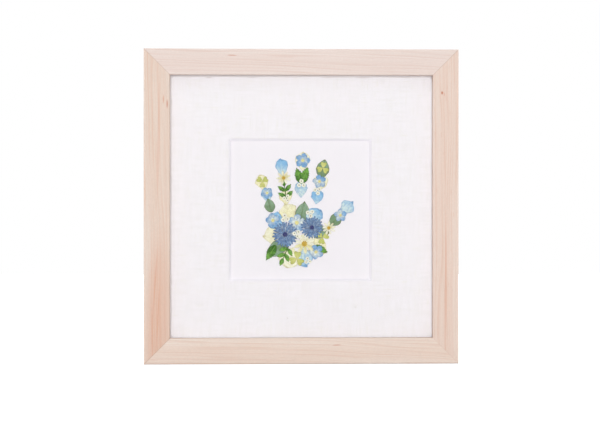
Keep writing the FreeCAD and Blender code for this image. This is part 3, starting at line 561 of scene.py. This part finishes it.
# Each of the next functions lays one piece of its kind, and length and width are in
# millimetres.
def lay_petal(kind, where, length, width, tone):
    kind.sheet(where, length, width, blade(0.62, 0.6, 0.14), cupped, tone, (26, 16))


def lay_leaf(kind, where, length, width, tone):
    kind.sheet(where, length, width, blade(0.45, 0.85, 0.08, 0.22), ribbed, tone, (48, 12))


def lay_sage(kind, where, length, width, tone):
    kind.sheet(where, length, width, blade(0.47, 0.72, 0.09), ribbed, tone, (26, 14))


def lay_sprig(kind, where, length, width, tone):
    kind.sheet(where, length * 0.95, length * 0.045, blade(0.3, 0.35, 0.05), ribbed, tone, (16, 2))
    for along, turn, leaflet in ((0.12, 55, 0.42), (0.12, -55, 0.42), (0.4, 48, 0.42), (0.4, -48, 0.42),
                                 (0.62, 0, 0.4)):
        spot = turned(where, turn, along * length)
        kind.sheet(spot, leaflet * length, 0.2 * length, blade(0.48, 0.8, 0.1, 0.25), ribbed,
                   (tone + along + turn * 0.01) % 1, (40, 8), 0.01)


def lay_bloom(kind, where, length, width, tone):
    for number in range(5):
        spot = turned(where, 72 * number)
        kind.sheet(spot, length / 2, length * 0.4, blade(0.66, 0.52, 0.13), imbricate(number), (
            tone + number * 0.13) % 1, (20, 12))
    lay_eye(where, length * 0.12, 0.12 + tone * 0.1)


def lay_daisy(kind, where, length, width, tone):
    for number in range(9):
        spot = turned(where, 40 * number + 4 * math.sin(number * 5))
        reach = length / 2 * (0.95 + 0.05 * math.sin(number * 3.3))
        kind.sheet(spot, reach, length * 0.15, blade(0.7, 0.42, 0.12), ray_ribbed, (
            tone + number * 0.07) % 1, (12, 6), 0.004 * (number % 3))
    lay_eye(where, length * 0.13, 0.5)


def lay_cornflower(kind, where, length, width, tone):
    edge = [1, 0.97, 0.82, 0.8, 0.9, 0.97, 0.9, 0.5]
    for number in range(8):
        spot = turned(where, 45 * number)
        kind.sheet(spot, length / 2, length / 2, fan(23, edge), cupped, (
            0.35 + tone * 0.2 + number * 0.05) % 1, (10, 14), 0.003 * number)
    for number in range(9):
        spot = turned(where, 40 * number + 17)
        kind.sheet(spot, length * 0.3, length * 0.3, fan(15, edge), cupped, (
            0.7 + number * 0.03) % 1, (8, 14), 0.045 + 0.003 * number)
    lay_eye(where, length * 0.1, 0.9)


def lay_clover(kind, where, length, width, tone):
    edge = [0.8, 0.9, 0.96, 0.985, 0.98, 0.94, 0.84, 0.68, 0.4]
    for number in range(3):
        spot = turned(where, 120 * number)
        kind.sheet(spot, length / 2, length / 2, fan(44, edge), ribbed, (tone + number * 0.1) % 1, (12, 16))


def lay_buds(kind, where, length, width, tone):
    for number in range(3):
        turn = math.radians(120 * number + 30)
        spot = turned(where, 0, length * 0.27 * math.cos(turn), length * 0.27 * math.sin(turn))
        kind.dome(spot @ Matrix.Translation((0, 0.06, 0)), length * 0.23, 0.3, 5, (tone + number * 0.3) % 1)


def lay_eye(where, radius, tone):
    """The heart of a flower: a low mound with a ring of grains."""
    eyes = pressings["flower_eyes"]
    above = where @ Matrix.Translation((0, -LAYER + 0.06, 0))
    eyes.dome(above, radius * 0.8, 0.22, 3, tone)
    for number in range(9):
        turn = math.tau * number / 9 + tone
        spot = turned(above, 0, radius * 0.82 * math.cos(turn), radius * 0.82 * math.sin(turn))
        eyes.dome(spot, radius * 0.26, 0.2, 2, (tone + 0.04) % 1, 1)


# Where each piece lies: kind, place of its foot or middle right of and above the window's
# middle, direction, length, width and layer. All but the last and the direction are
# shares of the hand's height.
laid = [
    ("cream", 0.06, -0.25, 322, 0.19, 0.165, 1), ("cream", -0.12, -0.2, 186, 0.19, 0.165, 1),
    ("sage", 0, -0.12, 80, 0.19, 0.12, 1), ("blue", 0.345, -0.045, 48, 0.155, 0.115, 1),
    ("cream", 0.16, 0.165, 78, 0.145, 0.12, 1), ("cream", 0.018, 0.335, 88, 0.16, 0.12, 1),
    ("blue", 0.006, 0.105, 90, 0.14, 0.115, 1), ("blue", -0.15, 0.295, 98, 0.145, 0.115, 1),
    ("cream", -0.118, 0.045, 98, 0.12, 0.11, 1), ("blue", -0.27, 0.065, 108, 0.125, 0.1, 1),
    ("sage", 0.06, -0.17, 352, 0.19, 0.12, 2), ("blue", 0.01, -0.31, 285, 0.175, 0.15, 2),
    ("sage", -0.1, -0.26, 215, 0.23, 0.125, 2), ("blue", -0.12, -0.14, 150, 0.17, 0.14, 2),
    ("blue", 0.05, -0.12, 45, 0.17, 0.14, 2), ("leaf", 0.115, -0.31, 335, 0.13, 0.065, 2),
    ("sage", 0.255, -0.13, 44, 0.155, 0.1, 2), ("sage", 0.178, 0.275, 78, 0.16, 0.11, 2),
    ("blue", 0.135, 0.05, 80, 0.125, 0.11, 2), ("leaf", 0.012, 0.225, 108, 0.14, 0.07, 2),
    ("sprig", -0.118, 0.09, 99, 0.18, 0.1, 2), ("cream", -0.305, 0.17, 108, 0.135, 0.105, 2),
    ("sage", -0.245, -0.02, 106, 0.12, 0.09, 2), ("cream", -0.06, -0.32, 252, 0.185, 0.17, 3),
    ("cream", -0.07, -0.1, 112, 0.16, 0.15, 3), ("blue", -0.04, -0.22, 205, 0.13, 0.12, 3),
    ("cream", 0, -0.22, 330, 0.13, 0.14, 3), ("leaf", -0.21, -0.3, 238, 0.15, 0.075, 3),
    ("leaf", 0.012, 0.225, 70, 0.15, 0.075, 3), ("sprig", -0.1, -0.31, 246, 0.18, 0.1, 4),
    ("bloom", 0.022, 0.425, 0, 0.125, 0.125, 2), ("bloom", 0.135, -0.36, 40, 0.125, 0.125, 3),
    ("bloom", -0.235, -0.09, 30, 0.125, 0.125, 3), ("clover", 0.19, -0.235, 20, 0.12, 0.12, 3),
    ("bloom", 0.345, -0.045, 20, 0.11, 0.11, 3), ("clover", 0.195, 0.36, 80, 0.11, 0.11, 3),
    ("bloom", 0.165, 0.245, 30, 0.115, 0.115, 3), ("daisy", -0.143, 0.275, 20, 0.125, 0.125, 3),
    ("buds", -0.118, 0.1, 30, 0.075, 0.075, 3), ("clover", -0.325, 0.245, 30, 0.105, 0.105, 3),
    ("bloom", -0.285, 0.145, 50, 0.1, 0.1, 3), ("daisy", 0.035, -0.29, 0, 0.19, 0.19, 4),
    ("bloom", -0.03, -0.11, 12, 0.15, 0.15, 4), ("daisy", 0.245, -0.155, 10, 0.12, 0.12, 4),
    ("buds", 0.148, 0.165, 10, 0.08, 0.08, 4), ("buds", 0.01, 0.225, 60, 0.085, 0.085, 4),
    ("cornflower", -0.13, -0.21, 10, 0.225, 0.225, 5), ("cornflower", 0.1, -0.15, 30, 0.2, 0.2, 5),
    ("clover", -0.03, -0.42, 80, 0.135, 0.135, 5), ("buds", -0.03, -0.205, 20, 0.08, 0.08, 6),
    ("buds", -0.13, -0.07, 70, 0.085, 0.085, 6), ("buds", 0.065, -0.435, 70, 0.07, 0.07, 3),
    ("buds", 0.085, -0.03, 10, 0.08, 0.08, 6),
]
kinds = {
    "blue": ("blue_petals", lay_petal), "cream": ("cream_petals", lay_petal),
    "sage": ("sage_leaves", lay_sage), "leaf": ("green_leaves", lay_leaf),
    "sprig": ("fern_sprigs", lay_sprig), "cornflower": ("cornflowers", lay_cornflower),
    "daisy": ("cream_daisies", lay_daisy), "bloom": ("blue_blooms", lay_bloom),
    "clover": ("lime_clovers", lay_clover), "buds": ("white_buds", lay_buds),
}
pressings = {node: Pressing() for node in [*(node for node, lay in kinds.values()), "flower_eyes"]}
GOLDEN = 0.381966  # steps of this share of a turn spread the pieces' tones evenly
for number, (kind, x, z, heading, length, width, layer) in enumerate(laid):
    node, lay = kinds[kind]
    corner = Vector((window_x + x * HAND, paper_front - layer * LAYER + SEAT, window_z + z * HAND))
    where = Matrix.Scale(MM, 4) @ turned(Matrix.Translation(corner), heading)
    lay(pressings[node], where, length * HAND, width * HAND, number * GOLDEN % 1)


def petal_place(finish):
    """How far along and across its petal a place is, and the petal's tone."""
    return finish.apart(finish.node("Attribute", {"attribute_name": "petal_spot"}, output="Vector"))


def pressed(name, foot, tip, vein, rim, veins=7.0, vein_share=0.5, rim_width=0.14, rim_share=0.5,
            rib=None, slant=0.0, blotch=0.5, crumple=0.35, browned=0.35, roughness=0.6):
    """A dried petal or leaf: its colour from foot to tip, its veins, the creases of its drying, darkened
    partly with painted shade, and its darker rim, partly its own colour and partly painted shadow.
    rib is the colour of a midrib whose side veins slant. A share says how strong a thing shows."""
    leaf = Finish(name, Roughness=roughness, Specular_IOR_Level=0.3)
    along, across, tone = petal_place(leaf)
    side = abs(across)
    spot = leaf.place()
    wash = leaf.noise(spot, 0.3, 3, 0.6) - 0.5
    mottle = leaf.noise(spot, 1.7, 4, 0.65)
    colour = leaf.blend((along + wash * 2.2 * blotch + (tone - 0.5) * 0.9).rise(0.05, 0.95), foot, tip)
    bleached = leaf.noise(spot, 0.45, 2, 0.5, 5)
    colour = leaf.blend(bleached.rise(0.52, 0.72) * 0.35, colour, foot)
    streak = leaf.noise(leaf.point(across * veins, along * 1.1, tone * 31), 1, 3, 0.6)
    thread = abs(leaf.noise(leaf.point(across * veins * 0.8, along * 1.6, tone * 17), 1, 2, 0.5) - 0.5)
    colour = leaf.blend(streak.rise(0.46, 0.72) * vein_share * 0.7, colour, vein)
    colour = leaf.blend(thread.rise(0.035, 0.0) * vein_share * 0.6, colour, vein)
    # The creases take the vein colour: partly the dried petal's own colour, partly painted shade in the
    # folds.
    crease = abs(leaf.noise(spot, 0.38, 3, 0.62, 2) - 0.5).rise(0.05, 0.0)
    colour = leaf.blend(crease * crumple, colour, vein)
    height = streak - crease * 0.8 - thread.rise(0.05, 0.0) * 0.3
    if rib:
        middle = side.rise(0.1, 0.02)
        nerve = abs(((along - side * slant) * 7).fraction() - 0.5).rise(0.4, 0.5) * side.rise(1, 0.6)
        colour = leaf.blend(middle.larger(nerve * 0.55) * 0.65, colour, rib)
        height = height * 0.6 - nerve * 0.6 - middle
    # The rim is darker: partly the petal's own colour, partly a painted shadow along its edge where it
    # would shade the paper.
    edge = side.rise(1 - rim_width * 1.6, 1).larger(along.rise(1 - rim_width, 1))
    ragged = (edge * (mottle * 1.3 + 0.2)).smaller(1)
    colour = leaf.blend(ragged * rim_share, colour, rim)
    spots = (mottle * 0.6 + bleached * 0.5 + edge * 0.12).rise(0.62, 0.72)
    colour = leaf.blend(spots * browned, colour, paint(150, 128, 84))
    shade = 0.9 + mottle * 0.34
    colour = leaf.blend(1.0, colour, leaf.point(shade, shade, shade), "MULTIPLY")
    return leaf.dress(colour, height + mottle * 0.6, 0.18)


def flower_heart():
    """The eyes: yellow in the small flowers, ochre in the daisies, violet in the large."""
    heart = Finish("flower_heart", Roughness=0.75, Specular_IOR_Level=0.2)
    out, turn, tone = petal_place(heart)
    grain = heart.noise(heart.place(), 3.2, 3, 0.7)
    colour = heart.blend(tone.rise(0.3, 0.32), paint(238, 228, 160), paint(206, 170, 74))
    colour = heart.blend(tone.rise(0.7, 0.72), colour, paint(60, 66, 118))
    colour = heart.blend(grain.rise(0.5, 0.66) * 0.7, colour, paint(112, 92, 46))
    return heart.dress(colour, grain, 0.12)


def bud_finish():
    """A cream bud with five clefts and a brown tip."""
    bud = Finish("bud_white", Roughness=0.65, Specular_IOR_Level=0.2)
    out, turn, tone = petal_place(bud)
    grain = bud.noise(bud.place(), 2.6, 3, 0.6)
    colour = bud.blend(grain.rise(0.35, 0.7), paint(252, 250, 242), paint(236, 230, 204))
    cleft = abs(((turn * 2.5).fraction() - 0.5)).rise(0.4, 0.5) * out.rise(0.2, 0.5)
    colour = bud.blend(cleft * 0.5, colour, paint(196, 190, 132))
    colour = bud.blend((out + (grain - 0.5) * 0.5).rise(0.34, 0.16), colour, paint(104, 86, 50))
    return bud.dress(colour, grain * 0.5 - cleft, 0.1)


petal_finishes = {
    "blue_petals": pressed(
        "petal_blue", paint(222, 236, 232), paint(146, 194, 230), paint(110, 160, 210),
        paint(84, 138, 196), veins=9, rim_width=0.12, rim_share=0.65, crumple=0.5, browned=0.1),
    "cream_petals": pressed(
        "petal_cream", paint(245, 239, 200), paint(249, 246, 226), paint(222, 212, 160),
        paint(206, 192, 128), veins=8, vein_share=0.45, rim_width=0.1, rim_share=0.7, crumple=0.4,
        browned=0.2),
    "sage_leaves": pressed(
        "leaf_sage", paint(126, 152, 118), paint(148, 174, 148), paint(100, 128, 96),
        paint(92, 94, 54), veins=6, vein_share=0.45, rim_width=0.1, rim_share=0.85,
        rib=paint(112, 132, 84), slant=0.5, crumple=0.4),
    "green_leaves": pressed(
        "leaf_green", paint(64, 114, 38), paint(126, 182, 82), paint(36, 70, 24),
        paint(46, 72, 28), veins=6, vein_share=0.55, rim_share=0.65, rib=paint(150, 200, 92),
        slant=0.55, blotch=0.9, crumple=0.6, browned=0.2, roughness=0.48),
    "fern_sprigs": pressed(
        "leaf_sprig", paint(70, 122, 42), paint(132, 188, 86), paint(36, 72, 24),
        paint(46, 76, 28), veins=6, vein_share=0.55, rim_width=0.16, rim_share=0.7,
        rib=paint(158, 206, 98), blotch=0.9, slant=0.5, crumple=0.6, browned=0.25, roughness=0.48),
    "cornflowers": pressed(
        "floret_blue", paint(190, 196, 200), paint(130, 158, 194), paint(66, 94, 144),
        paint(50, 76, 132), veins=8, vein_share=0.75, rim_share=0.7, blotch=0.9, crumple=0.75,
        browned=0.2),
    "cream_daisies": pressed(
        "ray_cream", paint(236, 228, 170), paint(252, 249, 236), paint(218, 208, 156),
        paint(222, 208, 156), veins=4, rim_share=0.55, browned=0.2),
    "blue_blooms": pressed(
        "bloom_blue", paint(234, 239, 232), paint(138, 180, 220), paint(92, 138, 194),
        paint(82, 126, 184), vein_share=0.55, rim_share=0.6, crumple=0.5, browned=0.12),
    "lime_clovers": pressed(
        "leaf_clover", paint(230, 227, 150), paint(206, 211, 118), paint(166, 172, 84),
        paint(146, 132, 62), veins=8, rim_width=0.12, rim_share=0.7, rib=paint(234, 230, 156),
        slant=0.3),
    "white_buds": bud_finish(),
    "flower_eyes": flower_heart(),
}
for node, pressing in pressings.items():
    made = finished("pressed_" + node, pressing.shape, petal_finishes[node], "frame",
                    [node], smooth=60)
    if node not in ("white_buds", "flower_eyes"):
        thick = made.modifiers.new("thickness", "SOLIDIFY")
        thick.thickness, thick.offset = PETAL * MM, -1


# Backing: two sheets of foam board press the layers against the glass, and a brown
# hardboard panel closes the rabbet.
foam = board_finish("foam_board_white", paint(244, 244, 242), paint(228, 228, 226))
assign(foam, "foam_board_front", "foam_board_back")


def hardboard():
    """Pressed brown wood fibre with flecks of bark and a slight gloss."""
    board = Finish("hardboard_brown", Roughness=0.6, Specular_IOR_Level=0.3)
    spot = board.place()
    pressed_flat = board.node("VectorMath", {"operation": "MULTIPLY"}, [spot, (0.9, 0.9, 2.6)])
    fibre = board.noise(pressed_flat, 1, 4, 0.7)
    cloud = board.noise(spot, 0.04, 3)
    fleck = board.noise(spot, 1.4, 2, 0.7, 9)
    colour = board.blend(cloud.rise(0.3, 0.7), paint(150, 116, 84), paint(134, 100, 70))
    colour = board.blend(fibre.rise(0.4, 0.75) * 0.5, colour, paint(176, 144, 108))
    colour = board.blend(fleck.rise(0.66, 0.74) * 0.7, colour, paint(84, 58, 38))
    return board.dress(colour, fibre + fleck * 0.4, 0.06)


assign(hardboard(), "back_panel")

# Turn buttons: six stamped steel buttons, plated, each held by one countersunk screw with
# a crossed recess. They swing off the panel so that the backing comes out.
nickel = steel("nickel_plate", paint(178, 177, 174), paint(146, 144, 140), 0.32, (3, 3, 3))
for body in frame["bodies"]:
    if body != "frame":
        eased(body, body + "_nickel", nickel, body, 0.16)
screw_steel = steel("screw_plate", paint(180, 176, 164), paint(134, 128, 114), 0.34, (5, 5, 5))
eased("turn_button_screws", "button_screws", screw_steel, "frame", 0.12, smooth=40)

# Sawtooth hanger: a strip of bright steel, joggled off the wood between its two nailed
# feet, with teeth that let the frame be levelled on its hook.
zinc = steel("zinc_plate", paint(168, 171, 176), paint(136, 139, 146), 0.38, (0.35, 5, 5))
eased("sawtooth_hanger", "hanger_strip", zinc, "frame", 0.1)
eased("hanger_nails", "hanger_nail_heads", zinc, "frame", 0.1, smooth=40)

# Wall bumpers: two self-adhesive domes of clear grey rubber at the foot of the back. They
# keep the frame plumb and off the wall.
rubber = Finish("bumper_rubber", Roughness=0.45, Specular_IOR_Level=0.5)
dust = rubber.noise(rubber.place(), 1.6, 3, 0.6)
rubber.dress(rubber.blend(dust.rise(0.45, 0.75), paint(206, 208, 206), paint(184, 184, 178)), dust, 0.03)
for side in ("left", "right"):
    eased("wall_bumper_" + side, "bumper_" + side, rubber.material, "frame", 0.5, smooth=50)


# Stage: a white floor and a white room, lit from the front and a little from above, with
# softer lamps at the sides and behind. They show as plain white, and the floor keeps the
# frame's shadow.
def seen_directly(finish):
    """1 for what the camera sees, also in a mirror or through glass."""
    rays = [finish.node("LightPath", {}, output="Is " + kind + " Ray")
            for kind in ("Camera", "Glossy", "Transmission")]
    return rays[0].larger(rays[1]).larger(rays[2])


floor_finish = Finish("floor_white")
lit = floor_finish.node("BsdfDiffuse", {}, {"Color": (0.45, 0.45, 0.45, 1)})
# With the lamps' light on it, this glow brings the floor up to white.
glow = floor_finish.node("Emission", {}, {"Strength": seen_directly(floor_finish) * 0.93})
both = floor_finish.node("AddShader", {}, [lit, glow])
floor_finish.plug(floor_finish.tree.nodes["Material Output"].inputs["Surface"], both)
floor_shape = bmesh.new()
bmesh.ops.create_grid(floor_shape, x_segments=1, y_segments=1, size=1.7)
bmesh.ops.translate(floor_shape, verts=floor_shape.verts, vec=(0, 0, -0.05 * MM))
floor_mesh = bpy.data.meshes.new("floor")
floor_shape.to_mesh(floor_mesh)
floor_shape.free()
floor_mesh.materials.append(floor_finish.material)
floor = bpy.data.objects.new("floor", floor_mesh)
bpy.context.scene.collection.objects.link(floor)

SKY = 0.3  # how much light the white room gives, where 1 is what the camera sees
world = bpy.data.worlds.new("white_room")
world.use_nodes = True
bpy.context.scene.world = world


class Room(Finish):
    """The world's nodes, added to in the same way as a material's."""

    def __init__(self, made):
        self.tree = made.node_tree


room = Room(world)
room.plug(room.tree.nodes["Background"].inputs["Color"], (1, 1, 1, 1))
room.plug(room.tree.nodes["Background"].inputs["Strength"], seen_directly(room) * (1 - SKY) + SKY)

frame_middle = Vector((0, 0, (foot + head) / 2 * MM))
lamps = [  # where each hangs from the frame's middle, its side, its power, and if it mirrors
    ("softbox", (-0.04, -1.9, 0.06), 0.3, 22.4, False),
    ("left_light", (-1.6, 0.2, 0.3), 0.6, 11, True),
    ("right_light", (1.6, 0.2, 0.3), 0.6, 11, True),
    ("top_light", (0, 0.5, 1.4), 0.7, 10, True),
    ("front_top_light", (-0.2, -0.9, 1.2), 0.8, 2.5, False),
    ("back_light", (0.3, 1.8, 0.4), 0.6, 13, True),
]
for name, offset, size, power, mirrored in lamps:
    lamp = bpy.data.lights.new(name, "AREA")
    lamp.shape, lamp.size, lamp.energy = "SQUARE", size, power
    hung = bpy.data.objects.new(name, lamp)
    hung.location = frame_middle + Vector(offset)
    hung.rotation_euler = (-Vector(offset)).to_track_quat("-Z", "Y").to_euler()
    hung.visible_glossy = mirrored
    bpy.context.scene.collection.objects.link(hung)

# The camera's place was found from the four outer edges of the frame in the photograph.
camera = bpy.data.cameras.new("photo_camera")
camera.lens, camera.sensor_width = 100, 36
viewer = bpy.data.objects.new("photo_camera", camera)
CAMERA_YAW, CAMERA_DISTANCE = math.radians(-2.18), 1.2163
target = Vector((-0.00127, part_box("left_rail")[0][1], 0.11194))
viewer.location = target - Vector((-math.sin(CAMERA_YAW), math.cos(CAMERA_YAW), 0)) * CAMERA_DISTANCE
viewer.rotation_euler = (math.radians(90.01), 0, CAMERA_YAW)
bpy.context.scene.collection.objects.link(viewer)
bpy.context.scene.camera = viewer
bpy.context.scene.view_settings.view_transform = "Standard"
